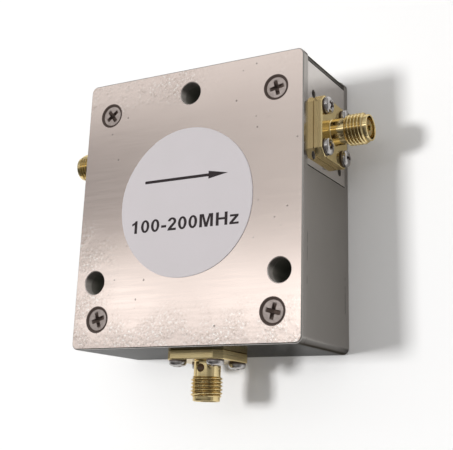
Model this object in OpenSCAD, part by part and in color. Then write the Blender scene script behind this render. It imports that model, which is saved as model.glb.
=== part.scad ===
// Three-port radio-frequency circulator in a flat plated housing.
// X runs to the right port, Y to the top edge, Z out of the labelled front face.
// The origin is the centre of the back cover's outer face. Sizes are in millimetres.

/* [Housing] */
// Width across the two side faces
body_w = 52; // [50:0.5:60]
// Height of the covers, from the lower port's face to the top edge
body_h = 57.5; // [55:0.5:66]
// Thickness of the frame between the covers
frame_t = 18; // [17:0.5:24]
// Thickness of each cover
cover_t = 2; // [1.8:0.1:3]
// Radius of the housing's four upright corners
corner_r = 1.4; // [0.8:0.1:2.5]
// Edge break round each cover's outer face
edge_break = 0.25; // [0.1:0.05:0.5]
// How far the frame's top edge stops short of the covers' top edge
frame_top_inset = 0.3; // [0.1:0.05:0.8]

/* [Port blocks] */
// Thickness of the frame's wall above each side opening
top_wall_t = 1.7; // [1.2:0.1:2.5]
// Height of the side opening that a port block fills
port_opening_h = 21.8; // [20:0.1:24]
// Depth of a port block, from the side face inwards
port_block_d = 9; // [8:0.5:10]
// Open seam above and below a port block
seam_gap = 0.2; // [0.1:0.05:0.4]
// Distance from the covers' top edge down to the side ports' axis
side_port_drop = 14.75; // [12:0.25:16]

/* [Cover screws] */
// Distance of the cover screws from the side faces
screw_side_margin = 6; // [5:0.1:7]
// Distance of the upper cover screws from the top edge
screw_top_margin = 7.55; // [6:0.05:9]
// Distance of the lower cover screws from the bottom edge
screw_low_margin = 5.95; // [4.5:0.05:8]
// Thread diameter of a cover screw
cover_thread_d = 2.5; // [2:0.1:3]
// Diameter of a cover screw's countersunk head
cover_head_d = 4.5; // [4:0.1:4.8]
// Diameter of the countersink's mouth
countersink_d = 5.3; // [5:0.1:5.6]
// Length of a cover screw with its head
cover_screw_len = 8; // [6:0.5:9]

/* [Mounting holes] */
// Diameter of a mounting hole, through the covers and the frame
mount_hole_d = 4.8; // [4.3:0.1:5.2]
// Distance of the upper mounting hole from the top edge
mount_top_margin = 5.55; // [4:0.05:6]
// Distance of the lower mounting holes from the side faces
mount_side_margin = 4.7; // [4:0.1:6]
// Distance of the lower mounting holes from the bottom edge
mount_low_margin = 13.5; // [11:0.1:16]

/* [Coaxial jacks] */
// Width of the square flange
flange_w = 12.7; // [12:0.1:14]
// Corner cut of the flange
flange_corner = 1.5; // [0.5:0.1:2]
// Thickness of the flange
flange_t = 1.8; // [1.4:0.1:2.2]
// Distance between neighbouring flange screws
flange_pitch = 8.64; // [8:0.02:9]
// Diameter of the flange's screw holes
flange_hole_d = 2.4; // [2.2:0.1:2.8]
// Distance from the mounting face to the jack's tip
jack_len = 9.5; // [8.8:0.1:12]
// Diameter of the plain barrel and of the nose
barrel_d = 5.4; // [5.2:0.05:5.6]
// Outside diameter of the coupling thread
thread_d = 6.35; // [6.2:0.05:6.6]
// Distance from the mounting face to the thread's first turn
thread_start = 4.75; // [4.2:0.05:5.5]
// Length of the plain nose in front of the thread
nose_len = 0.85; // [0.6:0.05:1.5]
// Diameter of the mouth
mouth_d = 4.6; // [4.4:0.05:4.8]
// Depth of the mouth, from the tip to the insulator's face
mouth_depth = 1.95; // [1.5:0.05:2.5]
// Diameter of the radial hole that locks the insulator with resin
resin_hole_d = 1.65; // [1:0.05:1.8]
// Distance from the mounting face to the radial hole's axis
resin_hole_pos = 3.15; // [2.9:0.05:3.5]
// Diameter of the insulator
insulator_d = 4.1; // [3.6:0.05:4.2]
// How far the insulator stops short of the wall's inner face
insulator_setback = 0.5; // [0.2:0.1:2]
// Diameter of the centre contact
contact_d = 1.27; // [1.2:0.01:1.4]
// Bore of the contact's socket
socket_d = 0.94; // [0.9:0.01:1]
// Depth of the contact's socket
socket_depth = 2.6; // [2:0.1:3.5]
// Diameter of the contact's thin tail behind the insulator
contact_tail_d = 0.6; // [0.4:0.05:0.8]

/* [Flange screws] */
// Thread diameter of a flange screw
flange_thread_d = 2; // [1.8:0.1:2.1]
// Diameter of the pan head
pan_head_d = 3.5; // [3:0.1:3.8]
// Height of the pan head
pan_head_h = 1.3; // [1.1:0.1:1.7]
// Length of a flange screw under its head
flange_screw_len = 6; // [4:0.5:7]

/* [Magnet and ferrite stack] */
// Thickness of the frame's web between the round cavity and a side opening
web_t = 1.8; // [1:0.1:3]
// Width of the ledge that carries each pole plate
ledge_w = 1.5; // [1:0.1:1.8]
// Gap between a magnet's rim and the cavity's wall
magnet_gap = 2; // [1:0.1:4]
// Depth of the round seat for a magnet inside each cover
magnet_seat = 0.4; // [0.2:0.1:0.8]
// Thickness of each pole plate
pole_plate_t = 1.15; // [0.8:0.05:1.5]
// Width of the free ring round the ferrite, for the strips' ends and the capacitors
ferrite_ring = 4.5; // [4.4:0.1:6]
// Thickness of each ferrite disc
ferrite_t = 2.5; // [2.2:0.1:3]

/* [Junction] */
// Thickness of each copper strip
strip_t = 0.3; // [0.2:0.05:0.4]
// Width of each strip pair across its two legs
strip_w = 4; // [3:0.1:5]
// Width of the slot between the two legs of a strip pair
strip_slot = 1.6; // [1:0.1:2]
// How far each strip pair reaches past the ferrite's rim
strip_overhang = 1.5; // [1.2:0.1:1.8]
// Thickness of each insulating film
film_t = 0.1; // [0.05:0.01:0.2]
// Width of the lead from a strip pair to its port
lead_w = 1.4; // [1:0.1:1.6]
// Side of each square tuning capacitor
capacitor_w = 2.4; // [1.8:0.1:2.6]

/* [Label] */
// Diameter of the round label
label_d = 31; // [26:0.5:32]
// Thickness of the round label
label_t = 0.15; // [0.1:0.05:0.3]

/* [Hidden] */
$fn = 64;

// Clearances, and how far each cut runs past the face that it opens
fit_gap = 0.03;
screw_clearance = 0.1;
plate_gap = 0.2;
film_overhang = 0.3;
solder_gap = 0.05;
cut = 1;

// Levels of the housing
body_t = frame_t + 2 * cover_t;
frame_top_z = cover_t + frame_t;
mid_z = body_t / 2;
frame_top_y = body_h / 2 - frame_top_inset;
opening_top_y = frame_top_y - top_wall_t;
opening_low_y = opening_top_y - port_opening_h;
block_inner_x = body_w / 2 - port_block_d;
side_port_y = body_h / 2 - side_port_drop;

// Places of the screws and mounting holes, with each screw's cross turned by its own angle
screw_x = body_w / 2 - screw_side_margin;
screw_top_y = body_h / 2 - screw_top_margin;
screw_low_y = screw_low_margin - body_h / 2;
cover_screw_places = [
    [-screw_x, screw_top_y, 38],
    [screw_x, screw_top_y, 12],
    [-screw_x, screw_low_y, 18],
    [screw_x, screw_low_y, -14]
];
mount_x = body_w / 2 - mount_side_margin;
mount_low_y = mount_low_margin - body_h / 2;
mount_places = [
    [0, body_h / 2 - mount_top_margin],
    [-mount_x, mount_low_y],
    [mount_x, mount_low_y]
];
mount_edge_break = 0.15;

// Countersunk cover screws
cover_shank_r = cover_thread_d / 2;
cover_hole_r = cover_shank_r + screw_clearance;
countersink_r = countersink_d / 2;
head_land = 0.1;
head_drop = (countersink_d - cover_head_d) / 2 - fit_gap - head_land;
tap_runout = 0.8;
cover_tap_depth = head_drop + cover_screw_len - cover_t + tap_runout;

// Cross recesses, as the width over two wings, the thickness of a wing and the depth
cover_cross = [2.9, 0.75, 1.1];
pan_cross = [2, 0.5, 0.8];
cross_tip_r = 0.3;

// Pan-head flange screws
flange_shank_r = flange_thread_d / 2;
pan_edge_r = 0.7;
flange_tap_depth = flange_screw_len - flange_t + tap_runout;
flange_screw_turns = [20, 65, 40, 5];

// Turned jack body
bore_r = insulator_d / 2 + fit_gap;
barrel_r = barrel_d / 2;
thread_r = thread_d / 2;
thread_end = jack_len - nose_len;
thread_chamfer = 0.35;
mouth_r = mouth_d / 2;
mouth_floor = jack_len - mouth_depth;
mouth_chamfer = 0.12;
nose_chamfer = 0.15;
contact_r = contact_d / 2;
contact_recess = 0.1;
socket_slot_w = 0.15;
socket_slot_len = 1.8;

// Radii of the stack, from the web beside each side opening inwards
cavity_r = norm([block_inner_x - web_t, max(opening_low_y, 0)]);
ledge_r = cavity_r - ledge_w;
magnet_r = cavity_r - magnet_gap;
ferrite_r = ledge_r - ferrite_ring;
film_r = ferrite_r + film_overhang;
strip_reach = ferrite_r + strip_overhang;

// Levels of the stack, worked out from the middle plane
junction_t = 3 * strip_t + 2 * film_t;
ledge_back_z = mid_z - junction_t / 2 - ferrite_t;
ledge_front_z = mid_z + junction_t / 2 + ferrite_t;
magnet_t = ledge_back_z - pole_plate_t - (cover_t - magnet_seat);

// Leads from the strips to the ports, as the direction of each strip and the end of its lead
pad_r = 1;
side_lead_turn = 30;
pad_x = strip_reach * cos(side_lead_turn);
pad_y = strip_reach + pad_r;
right_lead = [side_lead_turn, [pad_x, side_port_y]];
left_lead = [180 - side_lead_turn, [-pad_x, side_port_y]];
lower_lead = [-90, [0, -pad_y]];
lead_margin = 2;
pocket_x = pad_x - lead_margin;
pocket_low_y = strip_reach * sin(side_lead_turn);
pocket_h = side_port_y + pad_r + lead_margin - pocket_low_y;

// Wall behind each flange and distance from the mounting face to the lead's pad
lower_wall = body_h / 2 - ledge_r;
side_reach = body_w / 2 - pad_x - pad_r - solder_gap;
lower_reach = body_h / 2 - pad_y - pad_r - solder_gap;

// Rounded rectangle about the origin
module rounded_outline(w, h, r) {
    square([w - 2 * r, h], center = true);
    square([w, h - 2 * r], center = true);
    for (x = [-1, 1], y = [-1, 1])
        translate([x * (w / 2 - r), y * (h / 2 - r)])
            circle(r);
}

// Straight bar with a trapezoid section: w wide at the foot, narrower by e on each side at height e
module bevelled_bar(w, length, e) {
    rotate([90, 0, 0])
        linear_extrude(length, center = true)
            polygon([[-w / 2, 0], [w / 2, 0], [w / 2 - e, e], [e - w / 2, e]]);
}

// Rounded plate on the plane z = 0 whose upper edge is broken by e all round
module bevelled_plate(w, h, t, r, e) {
    linear_extrude(t - e)
        rounded_outline(w, h, r);
    translate([0, 0, t - e]) {
        bevelled_bar(w, h - 2 * r, e);
        rotate([0, 0, 90])
            bevelled_bar(h, w - 2 * r, e);
        for (x = [-1, 1], y = [-1, 1])
            translate([x * (w / 2 - r), y * (h / 2 - r), 0])
                cylinder(h = e, r1 = r, r2 = r - e);
    }
}

// Tapered cross whose mouth lies on the plane z = 0, pointing down
module cross_recess(size) {
    translate([0, 0, -size[2]])
        intersection() {
            cylinder(h = size[2], r1 = cross_tip_r, r2 = size[0] / 2);
            for (turn = [0, 90])
                rotate([0, 0, turn])
                    translate([-size[0] / 2, -size[1] / 2, 0])
                        cube([size[0], size[1], size[2]]);
        }
}

// Children at every cover screw, standing on the plane z = 0
module at_cover_screws() {
    for (place = cover_screw_places)
        translate([place[0], place[1], 0])
            rotate([0, 0, place[2]])
                children();
}

// Children at every mounting hole, standing on the plane z = 0
module at_mounting_holes() {
    for (place = mount_places)
        translate([place[0], place[1], 0])
            children();
}

// Cone that breaks the edge of a mounting hole in a face on the plane z = 0
module hole_edge_break() {
    hole_r = mount_hole_d / 2;
    translate([0, 0, -mount_edge_break])
        cylinder(h = cut, r1 = hole_r, r2 = hole_r + cut);
}

// Children at the four screws of a flange
module at_flange_screws() {
    for (corner = [0:3])
        rotate([0, 0, 90 * corner])
            translate([flange_pitch / 2, flange_pitch / 2, 0])
                rotate([0, 0, flange_screw_turns[corner]])
                    children();
}

// A jack's own frame stands on the mounting face with +Z out of the housing
module at_right_port() {
    translate([body_w / 2, side_port_y, mid_z])
        rotate([0, 90, 0])
            children();
}

module at_left_port() {
    translate([-body_w / 2, side_port_y, mid_z])
        rotate([0, -90, 0])
            rotate([0, 0, 180])
                children();
}

module at_lower_port() {
    translate([0, -body_h / 2, mid_z])
        rotate([90, 0, 0])
            rotate([0, 0, 90])
                children();
}

// Round cavity with a ledge on each side of the radio-frequency space
module cavity() {
    for (z = [cover_t - cut, ledge_front_z])
        translate([0, 0, z])
            cylinder(h = ledge_back_z - cover_t + cut, r = cavity_r);
    translate([0, 0, ledge_back_z - cut])
        cylinder(h = ledge_front_z - ledge_back_z + 2 * cut, r = ledge_r);
}

// Threaded holes for the cover screws, from both faces of the frame
module cover_tap_holes() {
    at_cover_screws()
        for (z = [cover_t - cut, frame_top_z - cover_tap_depth])
            translate([0, 0, z])
                cylinder(h = cover_tap_depth + cut, r = cover_shank_r + fit_gap);
}

// Holes behind a flange for the insulator and the flange screws
module jack_holes(depth) {
    translate([0, 0, -depth])
        cylinder(h = depth + cut, r = bore_r);
    at_flange_screws()
        translate([0, 0, -flange_tap_depth])
            cylinder(h = flange_tap_depth + cut, r = flange_shank_r + fit_gap);
}

// Milled frame with the cavity, the side openings and the lower port's wall
module main_frame() {
    frame_h = body_h / 2 + frame_top_y;
    color("lightgray")
        difference() {
            translate([0, frame_top_y - frame_h / 2, cover_t])
                linear_extrude(frame_t)
                    rounded_outline(body_w, frame_h, corner_r);
            cavity();
            for (side = [0, 1])
                mirror([side, 0, 0]) {
                    translate([block_inner_x, opening_low_y, cover_t - cut])
                        cube([port_block_d + cut, port_opening_h, frame_t + 2 * cut]);
                    translate([pocket_x, pocket_low_y, ledge_back_z])
                        cube([block_inner_x - pocket_x + cut, pocket_h, ledge_front_z - ledge_back_z]);
                }
            cover_tap_holes();
            at_mounting_holes() {
                cylinder(h = body_t, d = mount_hole_d);
                for (side = [0, 1])
                    translate([0, 0, mid_z])
                        mirror([0, 0, side])
                            translate([0, 0, frame_t / 2])
                                hole_edge_break();
            }
            at_lower_port()
                jack_holes(lower_wall + cut);
        }
}

// Block that fills the right side opening and carries the right jack
module right_port_block() {
    color("silver")
        difference() {
            translate([block_inner_x, opening_low_y + seam_gap, cover_t])
                cube([port_block_d, port_opening_h - 2 * seam_gap, frame_t]);
            cavity();
            cover_tap_holes();
            at_right_port()
                jack_holes(port_block_d + cut);
        }
}

// Block that fills the left side opening and carries the left jack
module left_port_block() {
    mirror([1, 0, 0])
        right_port_block();
}

// Cover plate lying on the plane z = 0, outer face up
module cover() {
    difference() {
        bevelled_plate(body_w, body_h, cover_t, corner_r, edge_break);
        translate([0, 0, -cut])
            cylinder(h = magnet_seat + cut, r = magnet_r + fit_gap);
        at_cover_screws() {
            translate([0, 0, -cut])
                cylinder(h = cover_t + 2 * cut, r = cover_hole_r);
            translate([0, 0, cover_t - countersink_r])
                cylinder(h = countersink_r + cut, r1 = 0, r2 = countersink_r + cut);
        }
        at_mounting_holes() {
            translate([0, 0, -cut])
                cylinder(h = cover_t + 2 * cut, d = mount_hole_d);
            translate([0, 0, cover_t])
                hole_edge_break();
        }
    }
}

module front_cover() {
    color("gainsboro")
        translate([0, 0, frame_top_z])
            cover();
}

module back_cover() {
    color("gainsboro")
        translate([0, 0, cover_t])
            mirror([0, 0, 1])
                cover();
}

// Countersunk screw with the top of its head on the plane z = 0
module countersunk_screw() {
    head_r = cover_head_d / 2;
    cone_end = head_land + head_r - cover_shank_r;
    point = 0.4;
    difference() {
        rotate_extrude()
            polygon([
                [0, 0],
                [head_r, 0],
                [head_r, -head_land],
                [cover_shank_r, -cone_end],
                [cover_shank_r, point - cover_screw_len],
                [cover_shank_r - point, -cover_screw_len],
                [0, -cover_screw_len]
            ]);
        translate([0, 0, fit_gap])
            cross_recess(cover_cross);
    }
}

module front_cover_screws() {
    color("slategray")
        at_cover_screws()
            translate([0, 0, body_t - head_drop])
                countersunk_screw();
}

module back_cover_screws() {
    color("slategray")
        translate([0, 0, body_t])
            mirror([0, 0, 1])
                front_cover_screws();
}

// Paper label on the middle of the front cover
module round_label() {
    color("white")
        translate([0, 0, body_t])
            cylinder(h = label_t, d = label_d);
}

// Turned and milled jack body: flange, plain barrel, thread, nose and mouth
module jack_body() {
    half = flange_w / 2;
    inner = half - flange_corner;
    color("gold")
        difference() {
            union() {
                linear_extrude(flange_t)
                    polygon([
                        [half, -inner], [half, inner], [inner, half], [-inner, half],
                        [-half, inner], [-half, -inner], [-inner, -half], [inner, -half]
                    ]);
                rotate_extrude()
                    polygon([
                        [0, 0],
                        [barrel_r, 0],
                        [barrel_r, thread_start],
                        [thread_r - thread_chamfer, thread_start],
                        [thread_r, thread_start + thread_chamfer],
                        [thread_r, thread_end - thread_chamfer],
                        [thread_r - thread_chamfer, thread_end],
                        [barrel_r, thread_end],
                        [barrel_r, jack_len - nose_chamfer],
                        [barrel_r - nose_chamfer, jack_len],
                        [0, jack_len]
                    ]);
            }
            translate([0, 0, -cut])
                cylinder(h = jack_len + 2 * cut, r = bore_r);
            translate([0, 0, mouth_floor])
                cylinder(h = mouth_depth + cut, r = mouth_r);
            translate([0, 0, jack_len - mouth_chamfer])
                cylinder(h = cut, r1 = mouth_r, r2 = mouth_r + cut);
            translate([0, 0, resin_hole_pos])
                rotate([0, 90, 0])
                    cylinder(h = barrel_r + cut, d = resin_hole_d);
            at_flange_screws()
                translate([0, 0, -cut])
                    cylinder(h = flange_t + 2 * cut, d = flange_hole_d);
        }
}

// White sleeve that carries the centre contact through a wall
module jack_insulator(wall) {
    tail = wall - insulator_setback;
    color("whitesmoke")
        difference() {
            translate([0, 0, -tail])
                cylinder(h = tail + mouth_floor, d = insulator_d);
            translate([0, 0, -tail - cut])
                cylinder(h = tail + mouth_floor + 2 * cut, r = contact_r + fit_gap);
        }
}

// Centre contact with a slotted socket in front and a thin tail that reaches the lead's pad
module jack_contact(wall, reach) {
    tail = wall - insulator_setback;
    front = mouth_floor - contact_recess;
    color("goldenrod")
        difference() {
            union() {
                translate([0, 0, -tail])
                    cylinder(h = tail + front, r = contact_r);
                translate([0, 0, -reach])
                    cylinder(h = reach, d = contact_tail_d);
            }
            translate([0, 0, front - socket_depth])
                cylinder(h = socket_depth + cut, d = socket_d);
            for (turn = [0, 90])
                rotate([0, 0, turn])
                    translate([-contact_d, -socket_slot_w / 2, front - socket_slot_len])
                        cube([2 * contact_d, socket_slot_w, socket_slot_len + cut]);
        }
}

// Pan-head screw seated on the plane z = 0
module pan_head_screw() {
    head_r = pan_head_d / 2;
    difference() {
        union() {
            rotate_extrude() {
                square([head_r, pan_head_h - pan_edge_r]);
                square([head_r - pan_edge_r, pan_head_h]);
                translate([head_r - pan_edge_r, pan_head_h - pan_edge_r])
                    intersection() {
                        circle(pan_edge_r);
                        square(pan_edge_r);
                    }
            }
            translate([0, 0, -flange_screw_len])
                cylinder(h = flange_screw_len, r = flange_shank_r);
        }
        translate([0, 0, pan_head_h + fit_gap])
            cross_recess(pan_cross);
    }
}

module jack_screws() {
    color("lightsteelblue")
        at_flange_screws()
            translate([0, 0, flange_t])
                pan_head_screw();
}

// Magnet between a pole plate and the seat in its cover
module back_magnet() {
    color("dimgray")
        translate([0, 0, cover_t - magnet_seat])
            cylinder(h = magnet_t, r = magnet_r);
}

module front_magnet() {
    color("dimgray")
        translate([0, 0, ledge_front_z + pole_plate_t])
            cylinder(h = magnet_t, r = magnet_r);
}

// Steel plate that spreads a magnet's field and closes the cavity at its ledge
module back_pole_plate() {
    color("lightgray")
        translate([0, 0, ledge_back_z - pole_plate_t])
            cylinder(h = pole_plate_t, r = cavity_r - plate_gap);
}

module front_pole_plate() {
    color("lightgray")
        translate([0, 0, ledge_front_z])
            cylinder(h = pole_plate_t, r = cavity_r - plate_gap);
}

// Ferrite disc on the inner face of a pole plate
module back_ferrite() {
    color("darkslategray")
        translate([0, 0, ledge_back_z])
            cylinder(h = ferrite_t, r = ferrite_r);
}

module front_ferrite() {
    color("darkslategray")
        translate([0, 0, ledge_front_z - ferrite_t])
            cylinder(h = ferrite_t, r = ferrite_r);
}

// Back face of one of the three strip layers, counted from the back
function strip_z(layer) = mid_z - junction_t / 2 + layer * (strip_t + film_t);

// Insulating film above a strip layer
module film(layer) {
    color("khaki")
        translate([0, 0, strip_z(layer) + strip_t])
            cylinder(h = film_t, r = film_r);
}

// Straight band of width w from point a to point b
module band(a, b, w) {
    step = b - a;
    translate(a)
        rotate(atan2(step[1], step[0]))
            translate([0, -w / 2])
                square([norm(step), w]);
}

// End of a strip pair where its lead starts
function strip_end(lead) = strip_reach * [cos(lead[0]), sin(lead[0])];

// Copper strip pair across the ferrite: joined legs, a lead to the port and a foot on the back pole plate
module junction_strip(lead, layer) {
    bar_w = strip_overhang - fit_gap;
    foot_z = ledge_back_z;
    color("peru") {
        translate([0, 0, strip_z(layer)])
            linear_extrude(strip_t) {
                rotate(lead[0])
                    difference() {
                        square([2 * strip_reach, strip_w], center = true);
                        square([2 * (strip_reach - bar_w), strip_slot], center = true);
                    }
                band(strip_end(lead) - strip_overhang * [cos(lead[0]), sin(lead[0])] / 2, lead[1], lead_w);
                translate(lead[1])
                    circle(pad_r);
            }
        rotate([0, 0, lead[0]])
            translate([-strip_reach, -strip_w / 2, foot_z])
                cube([strip_t, strip_w, strip_z(layer) - foot_z + strip_t]);
    }
}

// Square capacitor under the start of a lead, standing on the back pole plate
module tuning_capacitor(lead, layer) {
    start = strip_end(lead);
    step = lead[1] - start;
    color("tan")
        translate([start[0], start[1], ledge_back_z])
            rotate([0, 0, atan2(step[1], step[0])])
                translate([plate_gap, -capacitor_w / 2, 0])
                    cube([capacitor_w, capacitor_w, strip_z(layer) - ledge_back_z]);
}

main_frame();
right_port_block();
left_port_block();
front_cover();
back_cover();
front_cover_screws();
back_cover_screws();
round_label();
at_right_port() jack_body();  // right_jack_body
at_right_port() jack_insulator(port_block_d);  // right_jack_insulator
at_right_port() jack_contact(port_block_d, side_reach);  // right_jack_contact
at_right_port() jack_screws();  // right_jack_screws
at_left_port() jack_body();  // left_jack_body
at_left_port() jack_insulator(port_block_d);  // left_jack_insulator
at_left_port() jack_contact(port_block_d, side_reach);  // left_jack_contact
at_left_port() jack_screws();  // left_jack_screws
at_lower_port() jack_body();  // lower_jack_body
at_lower_port() jack_insulator(lower_wall);  // lower_jack_insulator
at_lower_port() jack_contact(lower_wall, lower_reach);  // lower_jack_contact
at_lower_port() jack_screws();  // lower_jack_screws
back_magnet();
front_magnet();
back_pole_plate();
front_pole_plate();
back_ferrite();
front_ferrite();
film(0);  // back_film
film(1);  // front_film
junction_strip(lower_lead, 0);  // lower_junction_strip
junction_strip(right_lead, 1);  // right_junction_strip
junction_strip(left_lead, 2);  // left_junction_strip
tuning_capacitor(lower_lead, 0);  // lower_tuning_capacitor
tuning_capacitor(right_lead, 1);  // right_tuning_capacitor
tuning_capacitor(left_lead, 2);  // left_tuning_capacitor
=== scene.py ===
# %% [markdown]
# # A three-port circulator, dressed for a studio picture
#
# The real object is a flat silver-plated box of two cover plates on a milled frame. It has a gold-plated
# coaxial jack on three of its sides and a round paper label in front. The solids come from the packed
# part and stay where they are. This script adds what solids leave out: the jacks' fine thread, the worn
# cross recesses, the broken edges, a few spare holes, the print on the label and every finish.

import bmesh
import bpy
import numpy as np
from mathutils import Matrix, Quaternion, Vector


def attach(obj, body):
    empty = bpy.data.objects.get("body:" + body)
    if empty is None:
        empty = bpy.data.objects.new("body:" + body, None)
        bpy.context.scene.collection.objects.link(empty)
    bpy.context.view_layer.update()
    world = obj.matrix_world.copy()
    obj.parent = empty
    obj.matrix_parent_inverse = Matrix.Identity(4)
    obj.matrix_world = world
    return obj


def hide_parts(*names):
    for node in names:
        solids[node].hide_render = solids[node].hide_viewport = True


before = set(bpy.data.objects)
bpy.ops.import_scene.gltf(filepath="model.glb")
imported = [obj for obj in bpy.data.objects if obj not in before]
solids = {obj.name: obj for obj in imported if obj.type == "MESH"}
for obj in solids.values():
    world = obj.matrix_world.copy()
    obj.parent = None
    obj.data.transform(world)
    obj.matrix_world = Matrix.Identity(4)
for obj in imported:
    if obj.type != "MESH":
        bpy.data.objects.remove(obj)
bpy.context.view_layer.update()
MM = 0.001


def added(name, data):
    """A new object in the scene."""
    made = bpy.data.objects.new(name, data)
    bpy.context.scene.collection.objects.link(made)
    return made


print("nodes loaded:", len(solids))

# %% [markdown]
# ## The camera
#
# The picture was taken from the right and a little below, looking down on the label. A camera could be
# aimed by hand, but every guess has to be checked by eye. Here the turn and the place were solved from
# where the corners, screws, holes, label and jacks lie, so they are written as one turn about one axis and
# the object's origin as the lens sees it. The picture is cut from a larger one, so the lens also looks
# past its middle: that is the shift.

# %% Camera at the photograph's view
TURN = Vector((-0.3093, -0.5065, 0.0515))
ORIGIN_SEEN = Vector((-0.3122, -15.8773, -203.0493)) * MM
FOCAL_PIXELS, PICTURE_WIDTH = 922.3, 453
LENS_SHIFT = (-0.03, -0.16)

to_world = Quaternion(TURN.normalized(), TURN.length).to_matrix().transposed()
camera_data = bpy.data.cameras.new("studio_camera")
camera_data.sensor_width = 36
camera_data.lens = FOCAL_PIXELS / PICTURE_WIDTH * camera_data.sensor_width
camera_data.shift_x, camera_data.shift_y = LENS_SHIFT
camera_data.clip_start = 0.01
camera = added("studio_camera", camera_data)
camera.matrix_world = Matrix.LocRotScale(-(to_world @ ORIGIN_SEEN), to_world, None)
bpy.context.scene.camera = camera
print("lens in mm:", round(camera_data.lens, 1))

# %% [markdown]
# ## One helper for every turned or pressed piece
#
# Screws, jacks and the label are all rings of points stacked into a grid. Blender's own primitives could
# be stretched and joined, but a grid keeps the whole shape in one formula. The helper joins neighbouring
# points into quads, and writes the ring's angle and the row into a UV map, so a finish can follow the
# lathe.

# %% Grid of points to mesh
def skin(name, grids, rows_close=False, recess_dark=None, along=None):
    """Quads through copies x rows x columns x 3 points in millimetres. Columns close into a ring. Rows
    close too for a torus; otherwise each end row shrinks to a pole. The share of darkening at each point,
    in recesses, is kept as an attribute. The UV map's second number is the row's share, or the length along
    the section where one is given."""
    copies, rows, columns = grids.shape[:3]
    row = np.arange(rows if rows_close else rows - 1)
    corner_row = row[:, None, None] + np.array([0, 0, 1, 1])
    corner_column = np.arange(columns)[None, :, None] + np.array([0, 1, 1, 0])
    one = (corner_row % rows) * columns + corner_column % columns
    quads = (one[None] + (np.arange(copies) * rows * columns)[:, None, None, None]).reshape(-1, 4)
    along = np.arange(rows + 1) / rows if along is None else along
    turn_row = np.broadcast_arrays(corner_column / columns, along[corner_row])
    uv = np.tile(np.stack(turn_row, axis=-1).reshape(-1, 2), (copies, 1))
    mesh = bpy.data.meshes.new(name)
    mesh.from_pydata(grids.reshape(-1, 3) * MM, [], quads)
    mesh.uv_layers.new(name="turned").uv.foreach_set("vector", uv.ravel().astype(np.float32))
    if recess_dark is not None:
        recess_dark = np.broadcast_to(recess_dark, grids.shape[:3]).ravel().astype(np.float32)
        mesh.attributes.new("recess_dark", "FLOAT", "POINT").data.foreach_set("value", recess_dark)
    return tidy(mesh)


def tidy(mesh, sharp=38, merge=1e-7, sliver=1e-8):
    """Merges the points of each pole, drops faces with no area, turns every face outwards and
    shades smooth except over edges sharper than the given angle."""
    work = bmesh.new()
    work.from_mesh(mesh)
    bmesh.ops.remove_doubles(work, verts=work.verts, dist=merge)
    bmesh.ops.dissolve_degenerate(work, edges=work.edges, dist=sliver)
    bmesh.ops.recalc_face_normals(work, faces=work.faces)
    work.to_mesh(mesh)
    work.free()
    mesh.shade_smooth()
    mesh.set_sharp_from_angle(angle=np.radians(sharp))
    return mesh


def show(name, mesh, slot, *nodes):
    """Puts a finished mesh into the scene on the part's one body, in place of the named solids."""
    piece = added(name, mesh)
    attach(piece, "root")
    if nodes:
        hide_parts(*nodes)
    print(name, "faces:", len(mesh.polygons))
    return piece


def ring(radius, height, angle):
    """Rows of points on circles: radius and height may change with row and angle."""
    radius, height, angle = np.broadcast_arrays(radius, height, angle)
    return np.stack([radius * np.cos(angle), radius * np.sin(angle), height], axis=-1)


# %% [markdown]
# ## The coaxial jacks
#
# Each jack is turned from brass: a flange milled square with cut corners, a plain barrel, a fine thread, a
# short nose and a stepped mouth. A stack of cylinders would lose the thread, and a screw modifier leaves
# open ends. So the section is one closed line carried round the axis, and two things change with the
# angle: the flange's outline, and the thread's height. The five holes are drilled afterwards, because a
# drill doesn't follow the lathe.

# %% Angles round the jack, with the flange's eight corners among them
FLANGE_HALF, FLANGE_INNER, FLANGE_T = 6.35, 4.85, 1.8
JACK_STEPS = 144
around = np.linspace(0, 2 * np.pi, JACK_STEPS, endpoint=False)
first = np.arctan2(FLANGE_INNER, FLANGE_HALF)
corners = (np.pi / 2 * np.arange(4)[:, None] + np.array([first, np.pi / 2 - first])).ravel()
around[np.rint(corners / (2 * np.pi / JACK_STEPS)).astype(int)] = corners


def flange_edge(angle):
    """Distance to a square with cut corners: the nearer of its straight side and its corner cut."""
    c, s = np.abs(np.cos(angle)), np.abs(np.sin(angle))
    return np.minimum(FLANGE_HALF / np.maximum(c, s), (FLANGE_HALF + FLANGE_INNER) / (c + s))


print("angles round a jack:", len(around))

# %% Helical thread
THREAD_FROM, THREAD_TO, THREAD_R, ROOT_R = 4.75, 8.65, 3.175, 2.76
THREAD_PITCH = 25.4 / 36
ROOT_FLAT, FLANK = 0.12, 0.72
CONE_R = 2.825


def thread_share(height, angle):
    """How high the thread stands, from 0 in its root to 1 on its crest: a triangle wave that moves one
    pitch per turn, with both ends cut flat."""
    phase = (height / THREAD_PITCH - angle / (2 * np.pi)) % 1
    return np.clip((1 - np.abs(2 * phase - 1) - ROOT_FLAT) / FLANK, 0, 1)


def thread_radius(height, angle):
    """From the root to the crest by that share, held under the 45-degree cone at each end."""
    cone = CONE_R + np.minimum(height - THREAD_FROM, THREAD_TO - height)
    return np.minimum(ROOT_R + (THREAD_R - ROOT_R) * thread_share(height, angle), cone)


print("thread pitch in mm:", round(THREAD_PITCH, 3))

# %% Jack body as one closed section carried round the axis
BORE_R, BARREL_R, MOUTH_R = 2.08, 2.7, 2.3
EDGE_ROUND, FOOT_ROUND = 0.18, 0.2
quarter = np.linspace(0, np.pi / 2, 6)
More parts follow.
